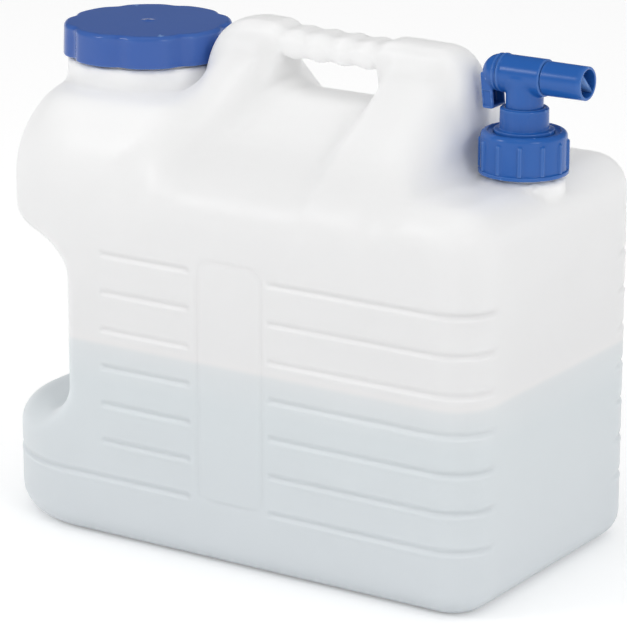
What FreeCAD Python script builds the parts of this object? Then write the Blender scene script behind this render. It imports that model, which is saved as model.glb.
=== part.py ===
import FreeCAD, Part
import math
import operator
import os
from types import SimpleNamespace

import Sketcher

doc = FreeCAD.newDocument("canister")

# Driving sizes in millimetres. X runs towards the spout, Z up, and the origin is the middle of the base.
SIZES = {
    # blow-moulded body
    "body_length": 345, "body_depth": 191, "body_wall": 2.2, "left_corner": 68, "right_corner": 25,
    "base_round": 17, "platform_height": 233, "platform_round": 21,
    "lobe_height": 261, "lobe_round": 44, "lobe_overlap": 12, "upper_foot": 190,
    "ridge_shoulder": 287, "ridge_knee": 219, "ridge_round": 40,
    # carrying handle, its two pillars and the window under it
    "left_pillar_gap": 3, "left_pillar_width": 41, "left_pillar_top": 305, "left_pillar_round": 30,
    "right_pillar_gap": 31.5, "right_pillar_width": 50, "right_pillar_top": 302, "right_pillar_round": 22,
    "crest_round": 10, "pillar_rise": 20,
    "sill_height": 266, "sill_round": 18, "sill_half": 15,
    "left_ramp_width": 19, "right_ramp_gap": 3, "ramp_foot": 222,
    "handle_bottom": 284.5, "handle_top": 301.5, "handle_half": 15, "handle_round": 7, "handle_sink": 10,
    "handle_wave_count": 5, "handle_wave_depth": 1.2, "handle_wave_radius": 8,
    # hand-hold notch in the left side
    "notch_bottom": 72, "notch_top": 176, "notch_depth": 69.5, "notch_round": 18, "notch_lip_round": 14,
    "grip_wave_count": 5, "grip_wave_pitch": 18, "grip_wave_rise": 2, "grip_wave_radius": 9,
    # grooves round the sides
    "groove_count": 7, "groove_first": 176.6, "groove_pitch": 22.7, "groove_width": 4, "groove_depth": 1,
    "groove_right_start": 39, "groove_left_start": -78, "groove_left_end": -16, "groove_wrap": 24,
    # wide neck and its lid
    "lid_inset": 62, "lid_bore": 41.2, "lid_neck": 44.2, "lid_bead": 48, "lid_bead_height": 12,
    "lid_neck_sink": 22,
    "lid_neck_height": 28, "lid_pitch": 6, "lid_thread_depth": 1.4, "lid_thread_turns": 1.5,
    "lid_gasket_thickness": 2, "lid_plate": 2.5, "lid_radius": 50.5, "lid_height": 19, "lid_round": 3,
    "lid_recess_count": 8, "lid_recess_depth": 1.4, "lid_recess_radius": 16, "lid_recess_drop": 4,
    # small neck and the union nut
    "tap_inset": 25, "tap_bore": 16.5, "tap_neck": 19.6, "tap_neck_height": 19, "tap_neck_sink": 4.4,
    "tap_pitch": 4, "tap_thread_depth": 1.3, "tap_thread_turns": 2, "neck_step": 0.9,
    "tap_gasket_thickness": 2, "flange_thickness": 3, "collar_plate": 3, "collar_rim": 0.8,
    "collar_height": 24, "collar_radius": 24.4, "collar_round": 3, "collar_rib_count": 12,
    "collar_rib_rise": 0.8, "collar_rib_width": 1.8, "collar_rib_sink": 1.1, "collar_land": 0.3,
    "collar_foot": 2.2, "collar_foot_rise": 1.1,
    # sleeve, tee, plug and lever of the tap
    "lip_radius": 17, "lip_rise": 1.5, "sleeve_radius": 13.9, "sleeve_height": 14, "sleeve_bore": 7.5,
    "sleeve_step": 0.9,
    "stem_radius": 10.6, "stem_bore": 7, "stem_depth": 12, "barrel_rise": 17.7, "barrel_radius": 10.6,
    "barrel_bore": 8.4, "barrel_back": 13.5, "barrel_front": 14, "plug_bore": 5.2, "port_radius": 4.6,
    "spout_radius": 9.7, "spout_bore": 7.9, "spout_length": 25.5, "spout_step": 2.8,
    "web_thickness": 1.4, "web_setback": 0.7,
    "spigot_radius": 6.5, "spigot_length": 8, "head_length": 12, "head_radius": 10.3, "head_round": 6,
    "lever_drop": 20, "lever_half": 7.5, "lever_thickness": 8, "lever_wall": 1.6, "lever_round": 3,
    "ring_radius": 0.9, "ring_inset": 4,
    # fits, and the shares of depth and pitch that shape a thread
    "thread_clearance": 0.6, "running_gap": 0.3, "bore_gap": 0.05,
    "thread_sunk_share": 0.3, "thread_foot_share": 0.25, "thread_crest_share": 0.1,
}

WEB_ANGLE = 45
TOLERANCE = 1e-4

sheet = doc.addObject("Spreadsheet::Sheet", "sizes")
for row, (alias, value) in enumerate(SIZES.items(), 1):
    sheet.set(f"A{row}", alias)
    sheet.set(f"B{row}", str(value))
    sheet.setAlias(f"B{row}", alias)
doc.recompute()


class Size:
    """A length that carries its number and the sheet expression that it comes from."""

    def __init__(self, number, text):
        self.number = number
        self.text = text

    def __add__(self, other):
        return join(self, "+", other)

    def __radd__(self, other):
        return join(other, "+", self)

    def __sub__(self, other):
        return join(self, "-", other)

    def __rsub__(self, other):
        return join(other, "-", self)

    def __mul__(self, other):
        return join(self, "*", other)

    def __truediv__(self, other):
        return join(self, "/", other)

    def __neg__(self):
        return join(0, "-", self)


OPERATIONS = {"+": operator.add, "-": operator.sub, "*": operator.mul, "/": operator.truediv}


def as_size(value):
    """A plain number becomes a size whose expression is that number."""
    return value if isinstance(value, Size) else Size(float(value), repr(float(value)))


def join(first, sign, second):
    """Two sizes joined by a sign, in number and in expression."""
    first, second = as_size(first), as_size(second)
    number = OPERATIONS[sign](first.number, second.number)
    return Size(number, f"({first.text} {sign} {second.text})")


s = SimpleNamespace(**{alias: Size(float(value), f"sizes.{alias}") for alias, value in SIZES.items()})

# Places along the body, each measured from an end of it or from its neighbour
half_length, half_depth = s.body_length / 2, s.body_depth / 2
lid_axis = s.lid_inset - half_length
tap_axis = half_length - s.tap_inset
left_pillar_outer = lid_axis + s.lid_radius + s.left_pillar_gap
left_pillar_inner = left_pillar_outer + s.left_pillar_width
right_pillar_outer = tap_axis - s.right_pillar_gap
right_pillar_inner = right_pillar_outer - s.right_pillar_width
window_length = right_pillar_inner - left_pillar_inner
lobe_end = left_pillar_outer + s.lobe_overlap
ramp_left = left_pillar_inner - s.left_ramp_width
ramp_right = right_pillar_inner - s.right_ramp_gap
notch_wall = s.notch_depth - half_length


def bind(thing, **values):
    """Bind properties of an object to the sheet; a double underscore in a name stands for a dot."""
    for path, value in values.items():
        thing.setExpression(path.replace("__", "."), as_size(value).text)
    return thing


PLANES = {
    "XY": FreeCAD.Rotation(),
    "XZ": FreeCAD.Rotation(FreeCAD.Vector(1, 0, 0), 90),
    "YZ": FreeCAD.Rotation(FreeCAD.Vector(1, 1, 1), 120),
}


def outline(name, plane, corners):
    """A closed sketch through corners (x, y) or (x, y, radius), every corner bound to the sheet."""
    sketch = doc.addObject("Sketcher::SketchObject", name)
    sketch.Placement = FreeCAD.Placement(FreeCAD.Vector(), PLANES[plane])
    corners = [tuple(as_size(value) for value in corner) for corner in corners]
    points = [FreeCAD.Vector(corner[0].number, corner[1].number) for corner in corners]
    count = len(points)
    entry, leave, arcs = list(points), list(points), {}
    for i, corner in enumerate(corners):
        if len(corner) < 3:
            continue
        back = (points[i - 1] - points[i]).normalize()
        ahead = (points[(i + 1) % count] - points[i]).normalize()
        half = back.getAngle(ahead) / 2
        radius = corner[2].number
        entry[i] = points[i] + back * (radius / math.tan(half))
        leave[i] = points[i] + ahead * (radius / math.tan(half))
        centre = points[i] + (back + ahead).normalize() * (radius / math.sin(half))
        left_turn = back.cross(ahead).z < 0
        first, last = (entry[i], leave[i]) if left_turn else (leave[i], entry[i])
        start = math.atan2(first.y - centre.y, first.x - centre.x)
        end = math.atan2(last.y - centre.y, last.x - centre.x)
        circle = Part.Circle(centre, FreeCAD.Vector(0, 0, 1), radius)
        arcs[i] = (Part.ArcOfCircle(circle, start, end if end > start else end + 2 * math.pi), left_turn)
    for i in range(count):
        sketch.addGeometry(Part.LineSegment(leave[i], entry[(i + 1) % count]))
    for i, corner in enumerate(corners):
        before = (i - 1) % count
        if i in arcs:
            arc, left_turn = arcs[i]
            arc_id = sketch.addGeometry(arc)
            mark = sketch.addGeometry(Part.Point(points[i]), True)
            arc_in, arc_out = (1, 2) if left_turn else (2, 1)
            sketch.addConstraint(Sketcher.Constraint("Tangent", before, 2, arc_id, arc_in))
            sketch.addConstraint(Sketcher.Constraint("Tangent", arc_id, arc_out, i, 1))
            sketch.addConstraint(Sketcher.Constraint("PointOnObject", mark, 1, before))
            sketch.addConstraint(Sketcher.Constraint("PointOnObject", mark, 1, i))
            radius_id = sketch.addConstraint(Sketcher.Constraint("Radius", arc_id, corner[2].number))
            sketch.setExpression(f"Constraints[{radius_id}]", corner[2].text)
        else:
            mark = i
            sketch.addConstraint(Sketcher.Constraint("Coincident", before, 2, i, 1))
        for kind, value in (("DistanceX", corner[0]), ("DistanceY", corner[1])):
            place = sketch.addConstraint(Sketcher.Constraint(kind, mark, 1, value.number))
            sketch.setExpression(f"Constraints[{place}]", value.text)
    return sketch


def extruded(name, sketch, length, start=None, symmetric=False):
    """A solid from a sketch along its normal, from a start along that axis or half to each side."""
    solid = doc.addObject("Part::Extrusion", name)
    solid.Base = sketch
    solid.DirMode = "Normal"
    solid.Solid = True
    solid.Symmetric = symmetric
    bind(solid, LengthFwd=length)
    if start is not None:
        normal = sketch.Placement.Rotation.multVec(FreeCAD.Vector(0, 0, 1))
        axis = "x" if abs(normal.x) > 0.5 else "y" if abs(normal.y) > 0.5 else "z"
        bind(sketch, **{f"Placement__Base__{axis}": start})
    return solid


def revolved(name, corners, about="Z"):
    """A solid of revolution of a half profile (radius, height) about Z, or (place, radius) about X."""
    solid = doc.addObject("Part::Revolution", name)
    solid.Source = outline(f"{name}_profile", "XZ", corners)
    solid.Axis = FreeCAD.Vector(0, 0, 1) if about == "Z" else FreeCAD.Vector(1, 0, 0)
    solid.Angle = 360
    solid.Solid = True
    return solid


def rod(name, radius, length, **place):
    """A cylinder bound to the sheet; place gives the bound parts of its placement."""
    solid = doc.addObject("Part::Cylinder", name)
    return bind(solid, Radius=radius, Height=length, **place)


def fused(name, *shapes):
    solid = doc.addObject("Part::MultiFuse", name)
    solid.Shapes = list(shapes)
    solid.Refine = False
    return solid


def common(name, *shapes):
    solid = doc.addObject("Part::MultiCommon", name)
    solid.Shapes = list(shapes)
    return solid


def cut(name, base, *tools):
    solid = doc.addObject("Part::Cut", name)
    solid.Base = base
    solid.Tool = tools[0] if len(tools) == 1 else fused(f"{name}_tools", *tools)
    return solid


def rounded(name, base, radius, chosen):
    """Fillet the edges of a solid for which chosen(edge) is true."""
    doc.recompute()
    solid = doc.addObject("Part::Fillet", name)
    solid.Base = base
    edges = enumerate(base.Shape.Edges, 1)
    solid.Edges = [(number, radius.number, radius.number) for number, edge in edges if chosen(edge)]
    return solid


def level(height):
    """Chooses the edges that lie flat at a height."""
    def chosen(edge):
        box = edge.BoundBox
        return abs(box.ZMin - height.number) < TOLERANCE and abs(box.ZMax - height.number) < TOLERANCE
    return chosen


def plan(name, inset):
    """The body seen from above: a long rectangle, its left end almost round."""
    end, side = half_length - inset, half_depth - inset
    left, right = s.left_corner - inset, s.right_corner - inset
    return outline(name, "XY", [
        (-end, -side, left), (end, -side, right), (end, side, right), (-end, side, left)])


def body_form(tag, inset):
    """The body without its necks; inset moves every wall inwards, which gives the cavity."""
    floor, deck = inset, s.platform_height - inset
    block = extruded(f"{tag}_block", plan(f"{tag}_plan", inset), deck - floor, start=floor)
    based = rounded(f"{tag}_based", block, s.base_round - inset, level(as_size(floor)))
    slab = rounded(f"{tag}_slab", based, s.platform_round - inset, level(deck))

    # left lobe, which carries the wide neck
    end, side = half_length - inset, half_depth - inset
    lobe_top, left = s.lobe_height - inset, s.left_corner - inset
    lobe_plan = outline(f"{tag}_lobe_plan", "XY", [
        (-end, -side, left), (lobe_end, -side), (lobe_end, side), (-end, side, left)])
    foot = s.upper_foot
    lobe_block = extruded(f"{tag}_lobe_block", lobe_plan, lobe_top - foot, start=foot)
    at_top = level(lobe_top)
    inner_end = lobe_end.number - TOLERANCE
    lobe = rounded(f"{tag}_lobe", lobe_block, s.lobe_round - inset,
                   lambda edge: at_top(edge) and edge.BoundBox.XMin < inner_end)

    # rounded ridge that carries the handle: its front view with two pillars, and its side view
    left_outer, right_outer = left_pillar_outer + inset, right_pillar_outer - inset
    left_inner, right_inner = left_pillar_inner - inset, right_pillar_inner + inset
    left_top, right_top = s.left_pillar_top - inset, s.right_pillar_top - inset
    sill, crest_round = s.sill_height - inset, s.crest_round - inset
    front_view = outline(f"{tag}_pillars", "XZ", [
        (left_outer, foot), (right_outer, foot), (right_outer, right_top, s.right_pillar_round - inset),
        (right_inner, right_top, crest_round), (right_inner, sill, s.sill_round),
        (left_inner, sill, s.sill_round), (left_inner, left_top, crest_round),
        (left_outer, left_top, s.left_pillar_round - inset)])
    pillars = extruded(f"{tag}_pillar_block", front_view, s.body_depth, symmetric=True)
    bar_half, bar_round = s.handle_half - inset, s.handle_round - inset
    shoulder, knee, knee_round = s.ridge_shoulder - inset, s.ridge_knee - inset, s.ridge_round - inset
    roof = outline(f"{tag}_roof_view", "YZ", [
        (-side, foot), (side, foot), (side, knee, knee_round), (bar_half, shoulder),
        (bar_half, left_top, bar_round), (-bar_half, left_top, bar_round), (-bar_half, shoulder),
        (-side, knee, knee_round)])
    roof_block = extruded(f"{tag}_roof", roof, s.body_length, start=-half_length)
    ridge = common(f"{tag}_ridge", pillars, roof_block)

    # sloping cuts in front of and behind the window
    peak = s.left_pillar_top + s.pillar_rise
    run = half_depth - s.sill_half
    slope = (s.sill_height - s.ramp_foot) / run
    ramps = []
    for side_name, sign in (("front", -1), ("back", 1)):
        near, far = s.sill_half * sign, (s.sill_half + run * 2) * sign
        view = outline(f"{tag}_{side_name}_ramp_view", "YZ", [
            (near, sill), (near, peak), (far, peak), (far, sill - slope * run * 2)])
        wide = ramp_right - ramp_left + inset * 2
        ramps.append(extruded(f"{tag}_{side_name}_ramp", view, wide, start=ramp_left - inset))
    opened = cut(f"{tag}_opened", fused(f"{tag}_upper", slab, lobe, ridge), *ramps)

    # carrying bar between the pillars
    low, high = s.handle_bottom + inset, s.handle_top - inset
    bar_view = outline(f"{tag}_bar_view", "YZ", [
        (-bar_half, low, bar_round), (bar_half, low, bar_round),
        (bar_half, high, bar_round), (-bar_half, high, bar_round)])
    bar_length = window_length + s.handle_sink * 2
    bar = extruded(f"{tag}_bar", bar_view, bar_length, start=left_pillar_inner - s.handle_sink)
    whole = fused(f"{tag}_whole", opened, bar)

    # hand-hold notch through the left end
    wall, low, high = notch_wall + inset, s.notch_bottom - inset, s.notch_top + inset
    notch_view = outline(f"{tag}_notch_view", "XZ", [
        (-s.body_length, low), (wall, low, s.notch_round),
        (wall, high, s.notch_round), (-s.body_length, high)])
    notch = extruded(f"{tag}_notch", notch_view, s.body_depth * 2, symmetric=True)

    def on_lip(edge):
        """Whether an edge belongs to the loop where the notch meets the outside."""
        box = edge.BoundBox
        beside = box.XMax < wall.number + TOLERANCE
        between = box.ZMin > low.number - TOLERANCE and box.ZMax < high.number + TOLERANCE
        across = box.XLength < TOLERANCE and box.ZLength < TOLERANCE
        outside = box.XMax < -end.number + TOLERANCE
        return beside and between and (outside or not across)

    return rounded(f"{tag}_form", cut(f"{tag}_notched", whole, notch), s.notch_lip_round - inset, on_lip)


def along_y(name, radius, length, x, z):
    """A rod of a given length across the body, centred on its middle plane."""
    solid = rod(name, radius, length,
                Placement__Base__x=x, Placement__Base__y=-length / 2, Placement__Base__z=z)
    solid.Placement.Rotation = FreeCAD.Rotation(FreeCAD.Vector(1, 0, 0), -90)
    return solid


def along_x(name, radius, length, start, z):
    """A rod along X from a start, at a height."""
    solid = rod(name, radius, length, Placement__Base__x=start, Placement__Base__z=z)
    solid.Placement.Rotation = FreeCAD.Rotation(FreeCAD.Vector(0, 1, 0), 90)
    return solid


def block(name, low, high):
    """A box between two corners given as sizes."""
    solid = doc.addObject("Part::Box", name)
    low, high = [as_size(value) for value in low], [as_size(value) for value in high]
    return bind(solid, Length=high[0] - low[0], Width=high[1] - low[1], Height=high[2] - low[2],
                Placement__Base__x=low[0], Placement__Base__y=low[1], Placement__Base__z=low[2])


def thread(name, radius, depth, pitch, turns, start):
    """A helical ridge that stands out from a radius by a depth, inwards where the depth is negative."""
    sunk = depth * s.thread_sunk_share
    foot, crest = pitch * s.thread_foot_share, pitch * s.thread_crest_share
    root, tip, low = radius - sunk, radius + depth, start
    section = [(root, low - foot), (tip, low - crest), (tip, low + crest), (root, low + foot)]
    corners = [FreeCAD.Vector(r.number, 0, z.number) for r, z in section]
    helix = Part.makeHelix(pitch.number, pitch.number * turns.number, radius.number)
    helix.translate(FreeCAD.Vector(0, 0, low.number))
    profile = Part.makePolygon(corners + corners[:1])
    solid = doc.addObject("Part::Feature", name)
    solid.Shape = Part.Wire(helix.Edges).makePipeShell([profile], True, True)
    return solid


def centred(count):
    """Whole steps either side of a middle, such as -1, 0, 1."""
    return [step - (count - 1) / 2 for step in range(count)]


def turned(count):
    """Equal turns round an axis, as angles in radians, none of them at the seam along X."""
    return [2 * math.pi * (step + 0.5) / count for step in range(count)]


# Canister: shell, finger waves, grooves and the two threaded necks
outer = body_form("outer", as_size(0))
cavity = body_form("cavity", s.body_wall)

window_middle = (left_pillar_inner + right_pillar_inner) / 2
wave_pitch = window_length / s.handle_wave_count
handle_waves = []
for place, sign, edge in (("top", 1, s.handle_top), ("under", -1, s.handle_bottom)):
    height = edge + (s.handle_wave_radius - s.handle_wave_depth) * sign
    for number, step in enumerate(centred(SIZES["handle_wave_count"]), 1):
        handle_waves.append(along_y(f"handle_wave_{place}_{number}", s.handle_wave_radius, s.body_depth,
                                    window_middle + wave_pitch * step, height))

notch_middle = (s.notch_bottom + s.notch_top) / 2
grip_length = s.body_depth - s.notch_lip_round * 2
grip_waves = [
    along_y(f"grip_wave_{number}", s.grip_wave_radius, grip_length,
            notch_wall + s.grip_wave_radius - s.grip_wave_rise, notch_middle + s.grip_wave_pitch * step)
    for number, step in enumerate(centred(SIZES["grip_wave_count"]), 1)]

groove_rings = []
for number in range(SIZES["groove_count"]):
    low = s.groove_first - s.groove_pitch * number - s.groove_width / 2
    groove_rings.append(block(f"groove_{number + 1}", (-s.body_length, -s.body_depth, low),
                              (s.body_length, s.body_depth, low + s.groove_width)))
groove_core = extruded("groove_core", plan("groove_core_plan", s.groove_depth), s.platform_height)
groove_last = s.groove_first - s.groove_pitch * (SIZES["groove_count"] - 1)
zone_low, zone_high = groove_last - s.groove_pitch / 2, s.groove_first + s.groove_pitch / 2
groove_zones = cut(
    "groove_zones",
    fused("groove_panels",
          block("right_panel", (s.groove_right_start, -s.body_depth, zone_low),
                (s.body_length, s.body_depth, zone_high)),
          block("left_panel", (s.groove_left_start, -s.body_depth, zone_low),
                (s.groove_left_end, s.body_depth, zone_high)),
          block("foot_panel", (-s.body_length, -s.body_depth, zone_low),
                (s.body_length, s.body_depth, groove_last + s.groove_pitch / 2))),
    block("plain_ends", (-s.body_length, s.groove_wrap - half_depth, 0),
          (s.body_length, half_depth - s.groove_wrap, s.platform_height)))
groove_bands = cut("groove_bands", fused("groove_stack", *groove_rings), groove_core)
grooves = common("grooves", groove_bands, groove_zones)

lid_neck_top = s.lobe_height + s.lid_neck_height
lid_bead_top = s.lobe_height + s.lid_bead_height
lid_neck_foot = s.lobe_height - s.lid_neck_sink
lid_thread_start = lid_bead_top + s.lid_pitch / 2
lid_neck = fused(
    "lid_neck",
    revolved("lid_neck_tube", [
        (0, lid_neck_foot), (s.lid_bead, lid_neck_foot), (s.lid_bead, lid_bead_top),
        (s.lid_neck, lid_bead_top), (s.lid_neck, lid_neck_top), (0, lid_neck_top)]),
    thread("lid_neck_thread", s.lid_neck, s.lid_thread_depth, s.lid_pitch, s.lid_thread_turns,
           lid_thread_start))
bind(lid_neck, Placement__Base__x=lid_axis)
lid_mouth = rod("lid_mouth", s.lid_bore, s.lobe_round + s.lid_neck_height + s.lid_height,
                Placement__Base__x=lid_axis, Placement__Base__z=s.lobe_height - s.lobe_round)

tap_neck_top = s.platform_height + s.tap_neck_height
tap_gasket_top = tap_neck_top + s.tap_gasket_thickness
flange_top = tap_gasket_top + s.flange_thickness
collar_plate_bottom = flange_top + s.running_gap
collar_plate_top = collar_plate_bottom + s.collar_plate
collar_top = collar_plate_top + s.collar_rim
collar_bottom = collar_top - s.collar_height
tap_thread_start = collar_bottom + s.tap_pitch
tap_neck_root = collar_bottom - s.neck_step
tap_neck_foot = s.platform_height - s.tap_neck_sink
tap_neck = fused(
    "tap_neck",
    revolved("tap_neck_tube", [
        (0, tap_neck_foot), (s.collar_radius, tap_neck_foot),
        (s.collar_radius, tap_neck_root - s.neck_step), (s.tap_neck, tap_neck_root),
        (s.tap_neck, tap_neck_top), (0, tap_neck_top)]),
    thread("tap_neck_thread", s.tap_neck, s.tap_thread_depth, s.tap_pitch, s.tap_thread_turns,
           tap_thread_start))
bind(tap_neck, Placement__Base__x=tap_axis)
tap_mouth = rod("tap_mouth", s.tap_bore, s.platform_round + s.tap_neck_height * 2,
                Placement__Base__x=tap_axis, Placement__Base__z=s.platform_height - s.platform_round)

waved = cut("waved", fused("gripped", outer, *grip_waves), grooves, *handle_waves)
necked = fused("necked", waved, lid_neck, tap_neck)
canister = cut("canister", necked, cavity, lid_mouth, tap_mouth)

# Lid and its gasket
lid_plate_bottom = lid_neck_top + s.lid_gasket_thickness
lid_top = lid_plate_bottom + s.lid_plate
lid_bottom = lid_top - s.lid_height
lid_inner = s.lid_neck + s.lid_thread_depth + s.thread_clearance
lid_cup = revolved("lid_cup", [
    (0, lid_plate_bottom), (lid_inner, lid_plate_bottom), (lid_inner, lid_bottom),
    (s.lid_radius, lid_bottom), (s.lid_radius, lid_top, s.lid_round), (0, lid_top)])
recess_reach = s.lid_radius + s.lid_recess_radius - s.lid_recess_depth
lid_recesses = [
    rod(f"lid_recess_{number}", s.lid_recess_radius, s.lid_height - s.lid_recess_drop,
        Placement__Base__x=recess_reach * math.cos(angle),
        Placement__Base__y=recess_reach * math.sin(angle), Placement__Base__z=lid_bottom)
    for number, angle in enumerate(turned(SIZES["lid_recess_count"]), 1)]
lid = fused(
    "lid", cut("lid_shell", lid_cup, *lid_recesses),
    thread("lid_thread", lid_inner, -s.lid_thread_depth, s.lid_pitch, s.lid_thread_turns,
           lid_thread_start + s.lid_pitch / 2))
bind(lid, Placement__Base__x=lid_axis)
lid_gasket = revolved("lid_gasket", [
    (s.lid_bore, lid_neck_top), (s.lid_neck, lid_neck_top),
    (s.lid_neck, lid_plate_bottom), (s.lid_bore, lid_plate_bottom)])
bind(lid_gasket, Placement__Base__x=lid_axis)

# Union nut, gasket and sleeve of the tap
collar_inner = s.tap_neck + s.tap_thread_depth + s.thread_clearance
collar_hole = s.lip_radius + s.running_gap
rib_radius = s.collar_radius + s.collar_rib_rise
foot_radius = s.collar_radius + s.collar_foot_rise
collar_crown = s.collar_radius - s.collar_round - s.collar_land
collar_shell = revolved("collar_shell", [
    (collar_hole, collar_plate_bottom), (collar_inner, collar_plate_bottom), (collar_inner, collar_bottom),
    (foot_radius, collar_bottom), (foot_radius, collar_bottom + s.collar_foot),
    (s.collar_radius, collar_bottom + s.collar_foot), (s.collar_radius, collar_top, s.collar_round),
    (collar_crown, collar_top), (collar_crown, collar_plate_top), (collar_hole, collar_plate_top)])
collar_ribs = []
side, across = collar_inner + s.collar_rib_sink, s.collar_rib_width / 2
for number, angle in enumerate(turned(SIZES["collar_rib_count"]), 1):
    rib = block(f"collar_rib_{number}", (side, -across, collar_bottom),
                (rib_radius, across, collar_top - s.collar_round))
    rib.Placement.Rotation = FreeCAD.Rotation(FreeCAD.Vector(0, 0, 1), math.degrees(angle))
    bind(rib, Placement__Base__x=side * math.cos(angle) + across * math.sin(angle),
         Placement__Base__y=side * math.sin(angle) - across * math.cos(angle))
    collar_ribs.append(rib)
tap_collar = fused(
    "tap_collar", collar_shell, *collar_ribs,
    thread("collar_thread", collar_inner, -s.tap_thread_depth, s.tap_pitch, s.tap_thread_turns,
           tap_thread_start + s.tap_pitch / 2))
bind(tap_collar, Placement__Base__x=tap_axis)
tap_gasket = revolved("tap_gasket", [
    (s.tap_bore, tap_neck_top), (s.tap_neck, tap_neck_top),
    (s.tap_neck, tap_gasket_top), (s.tap_bore, tap_gasket_top)])
bind(tap_gasket, Placement__Base__x=tap_axis)

lip_top = collar_plate_top + s.lip_rise
sleeve_top = collar_plate_top + s.sleeve_height
socket = s.stem_radius + s.bore_gap
socket_floor = sleeve_top - s.stem_depth
barrel_axis = sleeve_top + s.barrel_rise
step_foot, step_radius = sleeve_top - s.sleeve_step, s.sleeve_radius - s.sleeve_step
tap_sleeve = revolved("tap_sleeve", [
    (s.sleeve_bore, tap_gasket_top), (s.tap_neck, tap_gasket_top), (s.tap_neck, flange_top),
    (s.lip_radius, flange_top), (s.lip_radius, lip_top), (s.sleeve_radius, lip_top),
    (s.sleeve_radius, step_foot), (step_radius, step_foot), (step_radius, sleeve_top),
    (socket, sleeve_top), (socket, socket_floor), (s.sleeve_bore, socket_floor)])
bind(tap_sleeve, Placement__Base__x=tap_axis)

# Tee with its stem seal
seal_height = socket_floor + s.stem_depth / 2
groove_half = s.ring_radius + s.bore_gap
stem_groove = s.stem_radius - s.ring_radius * 2 - s.bore_gap
stem = revolved("stem", [
    (s.stem_bore, socket_floor), (s.stem_radius, socket_floor), (s.stem_radius, seal_height - groove_half),
    (stem_groove, seal_height - groove_half), (stem_groove, seal_height + groove_half),
    (s.stem_radius, seal_height + groove_half), (s.stem_radius, barrel_axis),
    (s.stem_bore, barrel_axis)])
barrel_length = s.barrel_back + s.barrel_front
tap_body = cut(
    "tap_body",
    fused("tee", stem, along_x("barrel", s.barrel_radius, barrel_length, -s.barrel_back, barrel_axis)),
    along_x("barrel_hole", s.barrel_bore, barrel_length, -s.barrel_back, barrel_axis),
    rod("stem_hole", s.stem_bore, barrel_axis - socket_floor, Placement__Base__z=socket_floor))
bind(tap_body, Placement__Base__x=tap_axis)


def ring(name, radius, x, z, about="Z"):
    """An O-ring whose outside has the given radius."""
    solid = doc.addObject("Part::Torus", name)
    if about == "X":
        solid.Placement.Rotation = FreeCAD.Rotation(FreeCAD.Vector(0, 1, 0), 90)
    return bind(solid, Radius1=radius - s.ring_radius, Radius2=s.ring_radius,
                Placement__Base__x=x, Placement__Base__z=z)


stem_seal = ring("stem_seal", s.stem_radius, tap_axis, seal_height)

# Plug with the spout, its two seals, and the lever
plug = s.barrel_bore - s.bore_gap
plug_groove = plug - s.ring_radius * 2 - s.bore_gap
rear_seal, front_seal = s.ring_inset - s.barrel_back, s.barrel_front - s.ring_inset
spigot_end = -s.barrel_back - s.spigot_length
shoulder = s.barrel_front + s.running_gap
spout_end = shoulder + s.spout_length
spout_floor = shoulder + s.spout_step
blind_end = -s.port_radius - s.web_thickness
plug_turning = revolved("plug_turning", [
    (spigot_end, 0), (spigot_end, s.spigot_radius), (-s.barrel_back, s.spigot_radius),
    (-s.barrel_back, plug), (rear_seal - groove_half, plug), (rear_seal - groove_half, plug_groove),
    (rear_seal + groove_half, plug_groove), (rear_seal + groove_half, plug),
    (front_seal - groove_half, plug), (front_seal - groove_half, plug_groove),
    (front_seal + groove_half, plug_groove), (front_seal + groove_half, plug), (shoulder, plug),
    (shoulder, s.spout_radius), (spout_end, s.spout_radius), (spout_end, s.spout_bore),
    (spout_floor, s.spout_bore), (spout_floor, s.plug_bore), (blind_end, s.plug_bore),
    (blind_end, 0)], about="X")
port = rod("port", s.port_radius, s.barrel_radius)
port.Placement.Rotation = FreeCAD.Rotation(FreeCAD.Vector(1, 0, 0), -90)
web_length = spout_end - s.web_setback - spout_floor
web_plate = doc.addObject("Part::Box", "web_plate")
web_plate.Placement.Rotation = FreeCAD.Rotation(FreeCAD.Vector(1, 0, 0), -WEB_ANGLE)
lean, rise = math.cos(math.radians(WEB_ANGLE)), math.sin(math.radians(WEB_ANGLE))
bind(web_plate, Length=web_length, Width=s.spout_radius * 2, Height=s.web_thickness,
     Placement__Base__x=spout_floor,
     Placement__Base__y=s.web_thickness / 2 * -rise - s.spout_radius * lean,
     Placement__Base__z=s.spout_radius * rise - s.web_thickness / 2 * lean)
web_reach = (s.spout_radius + s.spout_bore) / 2
web = common("web", web_plate, along_x("web_limit", web_reach, web_length, spout_floor, 0))
tap_plug = fused("tap_plug", cut("plug_ported", plug_turning, port), web)
bind(tap_plug, Placement__Base__x=tap_axis, Placement__Base__z=barrel_axis)
plug_seal_rear = ring("plug_seal_rear", plug, tap_axis + rear_seal, barrel_axis, about="X")
plug_seal_front = ring("plug_seal_front", plug, tap_axis + front_seal, barrel_axis, about="X")

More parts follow.
